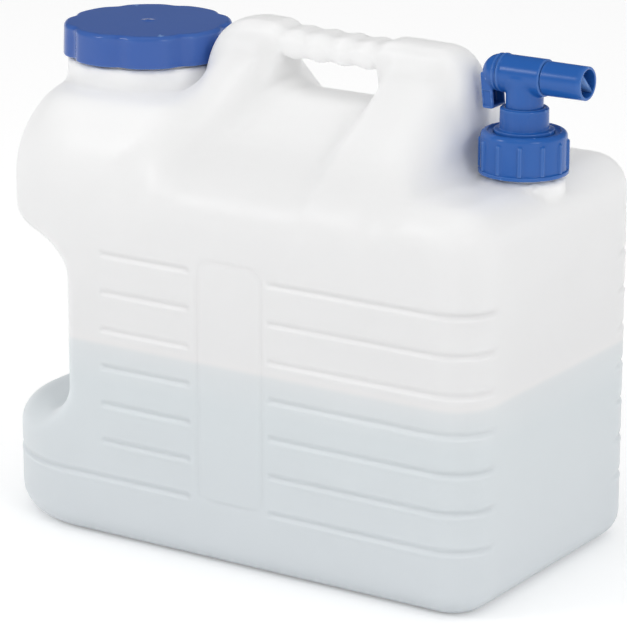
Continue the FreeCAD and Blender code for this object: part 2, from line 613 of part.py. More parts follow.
head_face = -s.barrel_back - s.running_gap
head_rear = head_face - s.head_length
head = revolved("head", [
    (head_rear, 0), (head_rear, s.head_radius, s.head_round), (head_face, s.head_radius),
    (head_face, s.spigot_radius), (spigot_end, s.spigot_radius), (spigot_end, 0)], about="X")
lever_back, lever_front = head_rear + s.lever_wall, head_rear + s.lever_wall + s.lever_thickness
lever_view = outline("lever_view", "YZ", [
    (-s.lever_half, -s.lever_drop, s.lever_round), (s.lever_half, -s.lever_drop, s.lever_round),
    (s.lever_half, 0), (-s.lever_half, 0)])
pocket_half, pocket_floor = s.lever_half - s.lever_wall, s.lever_wall - s.lever_drop
pocket_view = outline("pocket_view", "YZ", [
    (-pocket_half, pocket_floor, s.lever_wall), (pocket_half, pocket_floor, s.lever_wall),
    (pocket_half, -s.head_radius), (-pocket_half, -s.head_radius)])
lever_blade = cut("lever_blade", extruded("lever_block", lever_view, s.lever_thickness, start=lever_back),
                  extruded("lever_pocket", pocket_view, s.lever_thickness, start=lever_back + s.lever_wall))
lever_eye = along_x("lever_eye", s.spigot_radius, s.spigot_length, spigot_end, 0)
tap_lever = cut("tap_lever", fused("lever_arm", head, lever_blade), lever_eye)
bind(tap_lever, Placement__Base__x=tap_axis, Placement__Base__z=barrel_axis)

NODES = [canister, lid, lid_gasket, tap_collar, tap_gasket, tap_sleeve, tap_body, stem_seal,
         tap_plug, plug_seal_front, plug_seal_rear, tap_lever]
doc.recompute()
for thing in doc.Objects:
    if "Invalid" in thing.State or "Error" in thing.State:
        raise RuntimeError(f"{thing.Name} was not built")
for node in NODES:
    if node.Shape.isNull() or not node.Shape.isValid() or not node.Shape.Solids:
        raise RuntimeError(f"{node.Label} has no valid solid")
os.makedirs("parts", exist_ok=True)
for node in NODES:
    node.Shape.exportStep(f"parts/{node.Label}.step")
    print(node.Label, len(node.Shape.Solids), round(node.Shape.Volume / 1000, 2), "cubic centimetres")
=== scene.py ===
import math

import bpy
import numpy as np
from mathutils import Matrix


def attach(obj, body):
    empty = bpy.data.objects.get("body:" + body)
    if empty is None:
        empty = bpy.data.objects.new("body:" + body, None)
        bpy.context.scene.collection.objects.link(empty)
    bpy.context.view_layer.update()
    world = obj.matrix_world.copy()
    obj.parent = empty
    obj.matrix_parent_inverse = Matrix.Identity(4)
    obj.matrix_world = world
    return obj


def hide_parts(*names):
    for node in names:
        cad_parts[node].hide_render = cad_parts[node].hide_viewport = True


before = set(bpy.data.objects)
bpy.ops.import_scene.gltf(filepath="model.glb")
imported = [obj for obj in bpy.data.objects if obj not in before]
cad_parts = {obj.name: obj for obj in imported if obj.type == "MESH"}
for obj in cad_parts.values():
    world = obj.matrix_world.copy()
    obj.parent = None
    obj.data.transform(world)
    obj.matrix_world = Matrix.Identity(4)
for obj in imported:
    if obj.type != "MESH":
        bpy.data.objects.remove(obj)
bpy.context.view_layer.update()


# Canister shell: one hollow body of milky polyethylene, blow-moulded with its handle, hand-hold
# and grooves in the same shot, and half full of clear liquid that shows through the wall as a
# cool grey tint. Everything else screws or presses on to it.
MM = 0.001
HALF_LENGTH, HALF_DEPTH, WALL, LIQUID_LEVEL = 172.5, 95.5, 2.2, 122.5
LEFT_CORNER, RIGHT_CORNER, BASE_ROUND = 68.0, 25.0, 17.0
DECK, DECK_FILLET, DECK_FROM = 233.0, 14.0, 100.0
LOBE_TOP, LOBE_END, LOBE_ROUND, LOBE_FILLET = 261.0, -42.0, 20.0, 16.0
EDGE_ROUND, LOBE_NARROWER, LOBE_HIGHER, DECK_SHARPER = 40.0, 5.0, 25.0, 19.0
LID_AXIS, LID_MOUTH, TAP_AXIS, TAP_MOUTH = -110.5, 42.7, 147.5, 18.0
BEAD_RADIUS, BEAD_TOP, BEAD_SUNK, BEAD_FILLET = 48.0, 273.0, 34.0, 4.0
BOSS_RADIUS, BOSS_TOP, BOSS_SUNK, BOSS_FILLET = 23.6, 235.2, 10.0, 1.5
LEFT_PILLAR, LEFT_PILLAR_ROUND, RIGHT_PILLAR, RIGHT_PILLAR_ROUND = -57.0, 20.0, 116.0, 25.0
RIDGE_TOP, RIDGE_SLOPE, CREST_HALF = 302.5, 0.78, 6.0
WINDOW_LEFT, WINDOW_RIGHT, WINDOW_MIDDLE = -16.0, 66.0, 25.0
SILL, SILL_SOFT, SCOOP_SLOPE, LEFT_SPLAY, RIGHT_SPLAY = 266.5, 8.0, 0.55, 0.236, 0.037
SCOOP_CORNER, SCOOP_ROUND, SCOOP_EDGE = 10.0, 18.0, 7.0
HANDLE_UNDER, HANDLE_TOP, HANDLE_HALF, HANDLE_FALL, HANDLE_DIP = 284.5, 304.4, 15.0, 0.024, 2.3
HANDLE_PITCH, HANDLE_WAVE, HANDLE_FOOT, HANDLE_FILLET = 16.4, 0.6, 32.0, 9.0
ARCH_LEFT_ROUND, ARCH_RIGHT_ROUND, BAR_UNDER_ROUND, BAR_SIDE_ROUND = 30.0, 20.0, 7.0, 8.0
NOTCH_WALL, NOTCH_LOW, NOTCH_HIGH, NOTCH_PITCH, NOTCH_ROUND = -104.0, 72.0, 176.0, 18.0, 18.0
NOTCH_MIDDLE, NOTCH_RAKE, NOTCH_LEVEL_AT = (NOTCH_LOW + NOTCH_HIGH) / 2.0, 0.08, -135.0
NOTCH_LIP, NOTCH_LIP_GAIN, GRIP_HALF, GRIP_DEPTH = 5.0, 11.0, 50.0, 86.0
GROOVE_TOP, GROOVE_STEP, GROOVE_COUNT = 176.6, 22.7, 7
GROOVES = [GROOVE_TOP - GROOVE_STEP * number for number in range(GROOVE_COUNT)]
GROOVE_DEEP, GROOVE_HALF, GROOVE_ABOVE, LIP_RISE, LIP_HALF, LIP_BELOW = 1.1, 1.6, 0.6, 0.4, 1.0, 2.4
RIBS_RIGHT, RIBS_LEFT, RIBS_LEFT_END, RIBS_DEPTH, FOOT_DEPTH = 37.0, -80.0, -14.0, 68.0, 42.0
PANEL_MIDDLE, PANEL_HALF, PANEL_ROUND, PANEL_DEPTH = (12.35, 112.0), (22.25, 72.0), 9.0, 85.0
PANEL_LINE, PANEL_LINE_HALF = 0.5, 0.9


def eased(t):
    """A step from 0 to 1 that starts and stops softly: 3t^2 - 2t^3 for t held between 0 and 1."""
    t = np.clip(t, 0.0, 1.0)
    return t * t * (3.0 - 2.0 * t)


def joined(a, b, radius):
    """Two forms as one with a hollow fillet: the nearer distance, less a quarter circle of the
    given radius wherever both distances are shorter than it."""
    hollow = np.hypot(np.maximum(radius - a, 0.0), np.maximum(radius - b, 0.0))
    return np.maximum(radius, np.minimum(a, b)) - hollow


def shared(a, b, radius):
    """What two forms have in common, with the edge between them rounded to a quarter circle."""
    corner = np.hypot(np.maximum(radius + a, 0.0), np.maximum(radius + b, 0.0))
    return np.minimum(-radius, np.maximum(a, b)) + corner


def framed(u, v, half_u, half_v, radius):
    """Distance to a rectangle with rounded corners, less than nothing inside it: the distance to the
    rectangle drawn in by the corner radius, less that radius."""
    u, v = np.abs(u) - half_u + radius, np.abs(v) - half_v + radius
    return np.minimum(np.maximum(u, v), 0.0) + np.hypot(np.maximum(u, 0.0), np.maximum(v, 0.0)) - radius


def side_relief(x, y, z):
    """How far the walls are pressed in: at each level over the two ribbed panels a bell-shaped groove
    with a thin raised lip under it, the lowest carried on round the left end, and a fine line round
    the plain middle panel."""
    depth = np.abs(y)
    right = eased((x - RIBS_RIGHT) / 4.0) * eased((depth - RIBS_DEPTH) / 5.0)
    left_end = eased((RIBS_LEFT_END - x) / 4.0) * eased((depth - FOOT_DEPTH) / 6.0)
    left = left_end * eased((x - RIBS_LEFT) / 4.0)
    relief = 0.0
    for level in GROOVES:
        zone = np.maximum(right, left_end if level == GROOVES[-1] else left)
        groove = GROOVE_DEEP * np.exp(-((z - level - GROOVE_ABOVE) / GROOVE_HALF) ** 2)
        lip = LIP_RISE * np.exp(-((z - level + LIP_BELOW) / LIP_HALF) ** 2)
        relief = relief + zone * (groove - lip)
    edge = framed(x - PANEL_MIDDLE[0], z - PANEL_MIDDLE[1], *PANEL_HALF, PANEL_ROUND)
    line = PANEL_LINE * eased((depth - PANEL_DEPTH) / 5.0) * np.exp(-(edge / PANEL_LINE_HALF) ** 2)
    return relief + line


def shell_form(x, y, z):
    """Distance to the outside of the shell in millimetres: the plan with its round corners, met by
    a top made of deck, lobe, sloping ridge less its scoops, and handle; then the seats of the two
    necks are joined on and the hand-hold is cut away."""
    depth = np.abs(y)
    corner = np.where(x < 0, LEFT_CORNER, RIGHT_CORNER)
    side = framed(x, y, HALF_LENGTH, HALF_DEPTH, corner) + side_relief(x, y, z)

    lobe = shared(z - LOBE_TOP, x - LOBE_END, LOBE_ROUND)
    roof = (z - RIDGE_TOP + RIDGE_SLOPE * np.hypot(y, CREST_HALF)) / math.hypot(1.0, RIDGE_SLOPE)
    ridge = shared(roof, x - RIGHT_PILLAR, RIGHT_PILLAR_ROUND)
    ridge = shared(ridge, LEFT_PILLAR - x, LEFT_PILLAR_ROUND)
    past_sill = 0.5 * (depth - HANDLE_HALF + np.hypot(depth - HANDLE_HALF, SILL_SOFT))
    scoop_floor = (SILL - SCOOP_SLOPE * past_sill - z) / math.hypot(1.0, SCOOP_SLOPE)
    left_wall = WINDOW_LEFT - LEFT_SPLAY * past_sill - x
    right_wall = x - WINDOW_RIGHT + RIGHT_SPLAY * past_sill
    scoop = shared(shared(left_wall, right_wall, SCOOP_CORNER), scoop_floor, SCOOP_ROUND)
    ridge = shared(ridge, -scoop, SCOOP_EDGE)

    over_window = eased((x - WINDOW_LEFT) / 12.0) * eased((WINDOW_RIGHT - x) / 12.0)
    ripple = np.cos(2.0 * np.pi * (x - WINDOW_MIDDLE) / HANDLE_PITCH)
    wave = over_window * (HANDLE_WAVE + HANDLE_WAVE * ripple)
    bar_top = HANDLE_TOP - HANDLE_FALL * x - HANDLE_DIP * over_window - wave
    between = eased((x - WINDOW_LEFT + 4.0) / 14.0) * eased((WINDOW_RIGHT + 4.0 - x) / 14.0)
    bar_under = HANDLE_UNDER + wave - HANDLE_FOOT * (1.0 - between)
    arch = shared(z - bar_top, LEFT_PILLAR - x, ARCH_LEFT_ROUND)
    arch = shared(arch, x - RIGHT_PILLAR, ARCH_RIGHT_ROUND)
    arch = shared(arch, bar_under - z, BAR_UNDER_ROUND)
    arch = shared(arch, depth - HANDLE_HALF + 0.6 * wave, BAR_SIDE_ROUND)
    top = joined(joined(z - DECK, lobe, LOBE_FILLET), joined(ridge, arch, HANDLE_FILLET), DECK_FILLET)

    at_lobe, at_deck = eased((LOBE_END - x) / 25.0), eased((x - DECK_FROM) / 30.0)
    across = EDGE_ROUND - LOBE_NARROWER * at_lobe - DECK_SHARPER * at_deck
    rise = EDGE_ROUND + LOBE_HIGHER * at_lobe - DECK_SHARPER * at_deck
    body = across * shared(side / across, top / rise, 1.0)
    body = np.where(z < NOTCH_MIDDLE, shared(side, -z, BASE_ROUND), body)

    from_lid, from_tap = np.hypot(x - LID_AXIS, y), np.hypot(x - TAP_AXIS, y)
    bead = shared(shared(from_lid - BEAD_RADIUS, z - BEAD_TOP, 1.5), BEAD_TOP - BEAD_SUNK - z, 2.0)
    boss = shared(shared(from_tap - BOSS_RADIUS, z - BOSS_TOP, 1.0), BOSS_TOP - BOSS_SUNK - z, 1.0)
    body = joined(joined(body, bead, BEAD_FILLET), boss, BOSS_FILLET)

    in_grip = eased((GRIP_HALF - np.abs(z - NOTCH_MIDDLE)) / 8.0) * eased((GRIP_DEPTH - depth) / 12.0)
    wall = NOTCH_WALL - in_grip * np.cos(2.0 * np.pi * (z - NOTCH_MIDDLE) / NOTCH_PITCH)
    floor_and_roof = np.maximum(NOTCH_LOW + NOTCH_RAKE * (x - NOTCH_LEVEL_AT) - z, z - NOTCH_HIGH)
    notch = shared(x - wall, floor_and_roof, NOTCH_ROUND)
    lip = NOTCH_LIP + NOTCH_LIP_GAIN * eased((NOTCH_WALL - 4.0 - x) / 28.0)
    return shared(body, -notch, lip)


def cavity_form(x, y, z):
    """The wall's inner side: the outside moved in by the wall's thickness and turned inside out."""
    return -WALL - shell_form(x, y, z)


def levels(low, high, step, places, reach, fine):
    """Grid places from low to high, a step apart, and finer within reach of each given place."""
    t = np.linspace(low, high, 6000)
    near = np.min(np.abs(t[:, None] - np.array(places)[None, :]), axis=1) < reach
    passed = np.cumsum(np.where(near, 1.0 / fine, 1.0 / step)) * (t[1] - t[0])
    return np.interp(np.linspace(passed[0], passed[-1], int(passed[-1]) + 1), passed, t)


def skin(form, places):
    """The surface where a form's distance is zero, over a grid of places along X, Y and Z: one point
    in each grid cell that the surface crosses, at the mean of the crossings on the cell's edges, one
    face round each crossed edge, and then each point slid down the form's slope on to the surface."""
    value = form(places[0][:, None, None], places[1][None, :, None], places[2][None, None, :])
    cells = tuple(count - 1 for count in value.shape)
    total, hits = np.zeros(cells + (3,)), np.zeros(cells)
    crossings = []
    for a in range(3):
        order = (a, (a + 1) % 3, (a + 2) % 3)
        turned = np.moveaxis(value, order, (0, 1, 2))
        low, high = turned[:-1], turned[1:]
        crossed = (low < 0) != (high < 0)
        share = np.where(crossed, low / np.where(crossed, low - high, 1.0), 0.0)
        point = np.zeros(crossed.shape + (3,))
        along = places[a]
        point[..., order[0]] = along[:-1, None, None] + share * np.diff(along)[:, None, None]
        point[..., order[1]] = places[order[1]][None, :, None]
        point[..., order[2]] = places[order[2]][None, None, :]
        point *= crossed[..., None]
        sums = np.moveaxis(total, order, (0, 1, 2))
        tally = np.moveaxis(hits, order, (0, 1, 2))
        for j in (slice(None, -1), slice(1, None)):
            for k in (slice(None, -1), slice(1, None)):
                sums += point[:, j, k]
                tally += crossed[:, j, k]
        crossings.append((order, crossed[:, 1:-1, 1:-1], low[:, 1:-1, 1:-1]))
    used = hits > 0
    number = np.full(cells, -1)
    number[used] = np.arange(used.sum())
    points = total[used] / hits[used][:, None]
    faces = []
    for order, crossed, low in crossings:
        cell = np.moveaxis(number, order, (0, 1, 2))
        around = [cell[:, :-1, :-1], cell[:, 1:, :-1], cell[:, 1:, 1:], cell[:, :-1, 1:]]
        quads = np.stack(around, -1)[crossed]
        inwards = low[crossed] >= 0
        quads[inwards] = quads[inwards][:, ::-1]
        faces.append(quads)
    reach, h = min(np.diff(along).min() for along in places), 0.02
    for _ in range(5):
        x, y, z = points.T
        slope = np.stack([form(x + h, y, z) - form(x - h, y, z), form(x, y + h, z) - form(x, y - h, z),
                          form(x, y, z + h) - form(x, y, z - h)], -1) / (2.0 * h)
        steep = np.maximum((slope ** 2).sum(-1), 0.05)
        move = np.clip(form(x, y, z) / steep, -reach, reach)
        points = points - move[:, None] * slope
    return points, np.concatenate(faces)


def opened(points, faces, axis, radius, above):
    """A skin without the faces inside an upright cylinder, and its cut edge, drawn on to the cylinder
    and put in order: each point is followed by the one that a kept face's lone edge leads to, in
    strides that double until the edge has been walked right round."""
    away = np.hypot(points[:, 0] - axis, points[:, 1])
    lost = ((away[faces].mean(1) < radius) & (points[faces, 2].mean(1) > above))
    kept = faces[~lost]
    rim = np.intersect1d(faces[lost], kept)
    pull = radius / away[rim]
    points[rim, 0] = axis + (points[rim, 0] - axis) * pull
    points[rim, 1] = points[rim, 1] * pull
    start, end = kept.ravel(), np.roll(kept, -1, axis=1).ravel()
    on_rim = np.isin(start, rim) & np.isin(end, rim)
    start, end = start[on_rim], end[on_rim]
    lone = ~np.isin(start * len(points) + end, end * len(points) + start)
    stride = np.zeros(len(rim), int)
    stride[np.searchsorted(rim, start[lone])] = np.searchsorted(rim, end[lone])
    order = np.array([np.argmax(points[rim, 0])])
    while len(order) < len(rim):
        order, stride = np.concatenate([order, stride[order]]), stride[stride]
    return points, kept, rim[order[:len(rim)]]


def bridged(points, outer, inner):
    """Triangles across the wall between two cut edges that are in order the same way round: each
    stretch of one edge is joined to the point that lies level with it along the other."""
    ends = []
    for rim in (outer, inner):
        walked = np.cumsum(np.linalg.norm(points[np.roll(rim, -1)] - points[rim], axis=1))
        ends.append(walked / walked[-1])
    level_inner = inner[np.searchsorted(ends[1], ends[0], "left") % len(inner)]
    level_outer = outer[np.searchsorted(ends[0], ends[1], "right") % len(outer)]
    return (np.stack([outer, np.roll(outer, -1), level_inner], -1).tolist()
            + np.stack([np.roll(inner, -1), inner, level_outer], -1).tolist())


def piece(name, points, faces, material, body, stands_for=None):
    """A mesh in metres from points in millimetres, riding on a body and standing for a node."""
    mesh = bpy.data.meshes.new(name)
    mesh.from_pydata((np.asarray(points) * MM).tolist(), [], [list(face) for face in faces])
    mesh.polygons.foreach_set("use_smooth", np.ones(len(mesh.polygons), bool))
    mesh.materials.append(material)
    made = bpy.data.objects.new(name, mesh)
    bpy.context.scene.collection.objects.link(made)
    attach(made, body)
    if stands_for:
        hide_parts(stands_for)


def paint(name, **values):
    """A new node material and its shader, with constant values set on the shader's own sockets."""
    made = bpy.data.materials.new(name)
    made.use_nodes = True
    shader = made.node_tree.nodes["Principled BSDF"]
    for socket, value in values.items():
        shader.inputs[socket.replace("_", " ")].default_value = value
    return made, made.node_tree, shader


def node(tree, kind, links=(), **values):
    """A shader node with its settings, its plain inputs and links given as (input, other output)."""
    made = tree.nodes.new(kind)
    for key, value in values.items():
        if key[0] == "_":
            setattr(made, key[1:], value)
        else:
            made.inputs[key.replace("_", " ")].default_value = value
    for socket, source in links:
        tree.links.new(source, made.inputs[socket])
    return made


milky_shell, tree, shader = paint(
    "milky_shell", Roughness=0.36, IOR=1.5, Specular_IOR_Level=0.3, Subsurface_Weight=0.4,
    Subsurface_Radius=(1.0, 1.0, 1.0), Subsurface_Scale=0.012)
place = node(tree, "ShaderNodeTexCoord").outputs["Object"]
height = node(tree, "ShaderNodeSeparateXYZ", [(0, place)]).outputs["Z"]
share = node(tree, "ShaderNodeMapRange", [("Value", height)],
             From_Max=2.0 * LIQUID_LEVEL * MM).outputs["Result"]
# Colour by height: milky white above the liquid line, the liquid's grey tint below it, growing darker
# towards the bottom.
by_height = node(tree, "ShaderNodeValToRGB", [("Fac", share)])
ramp = by_height.color_ramp
for at, hue in ((0.0, (0.70, 0.75, 0.79)), (0.40, (0.73, 0.79, 0.82)), (0.475, (0.77, 0.815, 0.84)),
                (0.494, (0.80, 0.835, 0.855)), (0.506, (0.895, 0.895, 0.90)), (1.0, (0.88, 0.88, 0.88))):
    stop = ramp.elements.new(at)
    stop.color = hue + (1.0,)
ramp.elements.remove(ramp.elements[0])
ramp.elements.remove(ramp.elements[len(ramp.elements) - 1])
drift = node(tree, "ShaderNodeTexNoise", [("Vector", place)], Scale=9.0, Detail=2.0).outputs["Fac"]
shade = node(tree, "ShaderNodeMapRange", [("Value", drift)], To_Min=0.96, To_Max=1.03).outputs["Result"]
tone = node(tree, "ShaderNodeMix", [(6, by_height.outputs["Color"]), (7, shade)], _data_type="RGBA",
            _blend_type="MULTIPLY")
tone.inputs[0].default_value = 1.0
tree.links.new(tone.outputs[2], shader.inputs["Base Color"])
grain = node(tree, "ShaderNodeTexNoise", [("Vector", place)], Scale=140.0, Detail=3.0).outputs["Fac"]
bump = node(tree, "ShaderNodeBump", [("Height", grain)], Strength=0.05, Distance=0.0006)
tree.links.new(bump.outputs["Normal"], shader.inputs["Normal"])

COARSE, INNER_GRID = 3.0, 6.0
RIB_ENDS, PANEL_SIDES, PANEL_ENDS = (-78.0, -16.0, 39.0), (-9.9, 34.6), [40.0, 184.0]
shell_places = (
    levels(-177.0, 177.0, COARSE, RIB_ENDS + PANEL_SIDES, 2.6, 1.1),
    levels(-99.0, 99.0, COARSE, (-HALF_DEPTH, HALF_DEPTH), 3.0, 1.5),
    levels(-4.0, 308.0, COARSE, GROOVES + PANEL_ENDS, 3.4, 0.9))
cavity_places = (np.arange(-177.0, 178.0, INNER_GRID), np.arange(-99.0, 100.0, INNER_GRID),
                 np.arange(-3.0, 316.0, INNER_GRID))
outside, outside_faces, lid_edge = opened(*skin(shell_form, shell_places), LID_AXIS, LID_MOUTH, LOBE_TOP)
outside, outside_faces, tap_edge = opened(outside, outside_faces, TAP_AXIS, TAP_MOUTH, DECK - 8.0)
inside, inside_faces, lid_mouth = opened(
    *skin(cavity_form, cavity_places), LID_AXIS, LID_MOUTH, LOBE_TOP - 26.0)
inside, inside_faces, tap_mouth = opened(inside, inside_faces, TAP_AXIS, TAP_MOUTH, DECK - 11.0)
both = np.concatenate([outside, inside])
wall_faces = np.concatenate([outside_faces, inside_faces + len(outside)]).tolist()
for edge, mouth in ((lid_edge, lid_mouth), (tap_edge, tap_mouth)):
    wall_faces += bridged(both, np.roll(edge[::-1], 1), mouth + len(outside))
piece("canister_shell", both, wall_faces, milky_shell, "canister", "canister")


# The two necks: moulded on the shell and threaded outside. The wide one takes the lid, the small
# one the union nut; both are hidden until those are unscrewed.
TOOTH_HALF, TOOTH_FLANK, RUN_OUT, RIM_ROUND = 0.25, 0.15, 0.08, 0.8
LID_PITCH, LID_TURNS, LID_TOOTH = 6.0, 1.5, 1.4
TAP_PITCH, TAP_TURNS, TAP_TOOTH = 4.0, 2.0, 1.3


def thread_ridge(theta, z, start, pitch, turns):
    """A helical ridge from 0 to 1: a flat-topped tooth across the distance from the nearest turn of
    the helix z = start + pitch * angle / 360, run out softly at the first and last turn."""
    angle = np.mod(theta, 2.0 * np.pi) / (2.0 * np.pi)
    phase = (z - start) / pitch - angle
    turn = np.round(phase)
    tooth = np.clip((TOOTH_HALF - np.abs(phase - turn)) / TOOTH_FLANK, 0.0, 1.0)
    along = turn + angle
    return tooth * eased(along / RUN_OUT) * eased((turns - along) / RUN_OUT)


def lathe(profile, count, lift=None, closed=True, along="Z"):
    """A turned form: each profile point (radius, height) carried round an axis in equal steps, with
    lift(angle, radius, height) added to the radius. An open profile starts and ends on the axis."""
    profile = np.asarray(profile, float)
    theta = 2.0 * np.pi * np.arange(count) / count
    radius, height = profile[:, :1] + 0.0 * theta, profile[:, 1:] + 0.0 * theta
    if lift is not None:
        radius = radius + lift(theta[None, :] + 0.0 * radius, radius, height)
    across, up = radius * np.cos(theta), radius * np.sin(theta)
    points = np.stack([across, up, height] if along == "Z" else [height, across, up], -1)
    ring = np.arange(len(profile))[:, None] * count + np.arange(count)[None, :]
    ahead = np.roll(ring, -1, axis=1)
    quads = np.stack([ring, ahead, np.roll(ahead, -1, axis=0), np.roll(ring, -1, axis=0)], -1)
    points = points.reshape(-1, 3)
    if closed:
        return points, quads.reshape(-1, 4).tolist()
    body = quads[1:-2].reshape(-1, 4).tolist()
    first = np.stack([ring[1], ahead[1], np.full(count, ring[0, 0])], -1).tolist()
    last = np.stack([ahead[-2], ring[-2], np.full(count, ring[-1, 0])], -1).tolist()
    keep = np.concatenate([[ring[0, 0]], ring[1:-1].ravel(), [ring[-1, 0]]])
    renumber = np.zeros(len(points), int)
    renumber[keep] = np.arange(len(keep))
    return points[keep], [renumber[face].tolist() for face in body + first + last]


def run(start, end, count):
    """Points evenly along a straight stretch of a profile, without its last."""
    return [tuple(np.array(start) + (np.array(end) - np.array(start)) * t)
            for t in np.arange(count) / count]


def arc(centre, radius, first, last, count):
    """Points along an arc of a profile, angles in degrees from the outward direction, both ends in."""
    t = np.radians(np.linspace(first, last, count))
    return [(centre[0] + radius * math.cos(a), centre[1] + radius * math.sin(a)) for a in t]


def neck(name, axis, bore, outer, foot, rim, thread_start, pitch, turns, depth):
    """A threaded tube from a foot inside the shell up to a rounded rim."""
    profile = (run((bore, foot), (bore, rim - RIM_ROUND), 4)
               + arc((bore + RIM_ROUND, rim - RIM_ROUND), RIM_ROUND, 180, 90, 4)
               + arc((outer - RIM_ROUND, rim - RIM_ROUND), RIM_ROUND, 90, 0, 4)
               + run((outer, rim - 1.0), (outer, foot), 70) + [(outer, foot)])

    def lift(theta, r, z):
        """The thread on the outer wall, and nothing on the rest."""
        return np.where(r > outer - 0.01, depth * thread_ridge(theta, z, thread_start, pitch, turns), 0.0)

    points, faces = lathe(profile[::-1], 144, lift)
    piece(name, points + [axis, 0.0, 0.0], faces, milky_shell, "canister")


neck("lid_neck", LID_AXIS, bore=41.2, outer=44.2, foot=244.0, rim=289.0, thread_start=276.0,
     pitch=LID_PITCH, turns=LID_TURNS, depth=LID_TOOTH)
neck("tap_neck", TAP_AXIS, bore=16.5, outer=19.6, foot=229.0, rim=252.0, thread_start=241.1,
     pitch=TAP_PITCH, turns=TAP_TURNS, depth=TAP_TOOTH)


# Lid: injection-moulded cobalt-blue cap with eight broad grip lobes and a pip where the plastic
# entered, screwed on to the wide neck over a flat ring.
LID_LOW, LID_HIGH, LID_RADIUS, LID_INNER = 274.5, 293.5, 50.5, 46.2
LID_PLATE_UNDER, LID_THREAD, GRIP_FROM, SKIRT_FROM = 291.0, 279.0, 38.0, 47.0
LOBE_COUNT, VALLEY_AT, VALLEY_HALF, VALLEY_DEEP = 8, math.radians(14.4), math.radians(7.0), 3.0


def moulded_blue(name, deep, bright, edge_highlight, roughness, grain_size):
    """Dyed polypropylene: two near blues drifting over the piece, paler on its sharp edges as a painted
    highlight, and a fine grain in the gloss."""
    made, tree, shader = paint(name, IOR=1.49, Roughness=roughness, Specular_IOR_Level=0.45)
    place = node(tree, "ShaderNodeTexCoord").outputs["Object"]
    drift = node(tree, "ShaderNodeTexNoise", [("Vector", place)], Scale=28.0, Detail=3.0).outputs["Fac"]
    tone = node(tree, "ShaderNodeMix", [(0, drift)], _data_type="RGBA")
    tone.inputs[6].default_value, tone.inputs[7].default_value = deep, bright
    # Painted highlight: edges that the mesh's pointiness marks as sharp are mixed towards a paler blue.
    edges = node(tree, "ShaderNodeNewGeometry").outputs["Pointiness"]
    highlight_mask = node(tree, "ShaderNodeMapRange", [("Value", edges)], From_Min=0.51, From_Max=0.60)
    highlit_tone = node(tree, "ShaderNodeMix", [(0, highlight_mask.outputs["Result"]), (6, tone.outputs[2])],
                  _data_type="RGBA")
    highlit_tone.inputs[7].default_value = edge_highlight
    tree.links.new(highlit_tone.outputs[2], shader.inputs["Base Color"])
    grain = node(tree, "ShaderNodeTexNoise", [("Vector", place)], Scale=grain_size).outputs["Fac"]
    bump = node(tree, "ShaderNodeBump", [("Height", grain)], Strength=0.06, Distance=0.0004)
    tree.links.new(bump.outputs["Normal"], shader.inputs["Normal"])
    return made


def lid_grip(theta, r, z):
    """Grip of the lid: a bell-shaped valley between each two lobes, a little shallower over the top
    edge, drawn out flat across the rim of the top, and nothing inside."""
    turn = np.mod(theta - VALLEY_AT + np.pi / LOBE_COUNT, 2.0 * np.pi / LOBE_COUNT) - np.pi / LOBE_COUNT
    valley = np.exp(-(turn / VALLEY_HALF) ** 2)
    on_side = np.where(z > LID_HIGH - 1.0, eased((r - GRIP_FROM) / 9.0), eased((r - SKIRT_FROM) / 2.0))
    fade = 1.0 - 0.2 * eased((z - LID_HIGH + 6.0) / 5.0)
    return -VALLEY_DEEP * valley * on_side * fade


def lid_inside(theta, r, z):
    """The grip outside and the thread inside the skirt."""
    ridge = LID_TOOTH * thread_ridge(theta, z, LID_THREAD, LID_PITCH, LID_TURNS)
    return np.where(np.abs(r - LID_INNER) < 0.01, -ridge, lid_grip(theta, r, z))


lid_profile = (
    [(0.0, LID_PLATE_UNDER)] + run((8.0, LID_PLATE_UNDER), (LID_INNER, LID_PLATE_UNDER), 6)
    + run((LID_INNER, LID_PLATE_UNDER), (LID_INNER, LID_LOW), 48)
    + [(LID_INNER, LID_LOW), (LID_INNER + 0.5, LID_LOW), (LID_RADIUS - 0.8, LID_LOW)]
    + arc((LID_RADIUS - 0.8, LID_LOW + 0.8), 0.8, -60, 0, 4)
    + run((LID_RADIUS, LID_LOW + 1.2), (LID_RADIUS - 0.5, LID_HIGH - 4.0), 16)
    + arc((LID_RADIUS - 3.3, LID_HIGH - 2.8), 2.8, 0, 90, 9)
    + run((LID_RADIUS - 3.6, LID_HIGH), (2.2, LID_HIGH), 14) + [(1.4, LID_HIGH), (1.0, LID_HIGH + 0.35)]
    + [(0.0, LID_HIGH + 0.4)])
# The third colour is the painted highlight on the lid's sharp edges.
blue_lid = moulded_blue("blue_lid", (0.034, 0.100, 0.365, 1.0), (0.040, 0.112, 0.395, 1.0),
                        (0.130, 0.260, 0.570, 1.0), 0.22, 300.0)
points, faces = lathe(lid_profile, 240, lid_inside, closed=False)
piece("lid_cap", points + [LID_AXIS, 0.0, 0.0], faces, blue_lid, "lid", "lid")


# Seals: two flat rings under the caps and three O-rings in the tap, all of dark elastomer and all
# out of sight until the tap or the lid is taken apart.
dark_seal, tree, shader = paint("dark_seal", Roughness=0.7)
place = node(tree, "ShaderNodeTexCoord").outputs["Object"]
dust = node(tree, "ShaderNodeTexNoise", [("Vector", place)], Scale=220.0, Detail=3.0).outputs["Fac"]
tone = node(tree, "ShaderNodeMix", [(0, dust)], _data_type="RGBA")
tone.inputs[6].default_value = (0.018, 0.018, 0.020, 1.0)
tone.inputs[7].default_value = (0.035, 0.035, 0.037, 1.0)
tree.links.new(tone.outputs[2], shader.inputs["Base Color"])
for ring in ("lid_gasket", "tap_gasket", "stem_seal", "plug_seal_front", "plug_seal_rear"):
    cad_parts[ring].data.materials.clear()
    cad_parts[ring].data.materials.append(dark_seal)


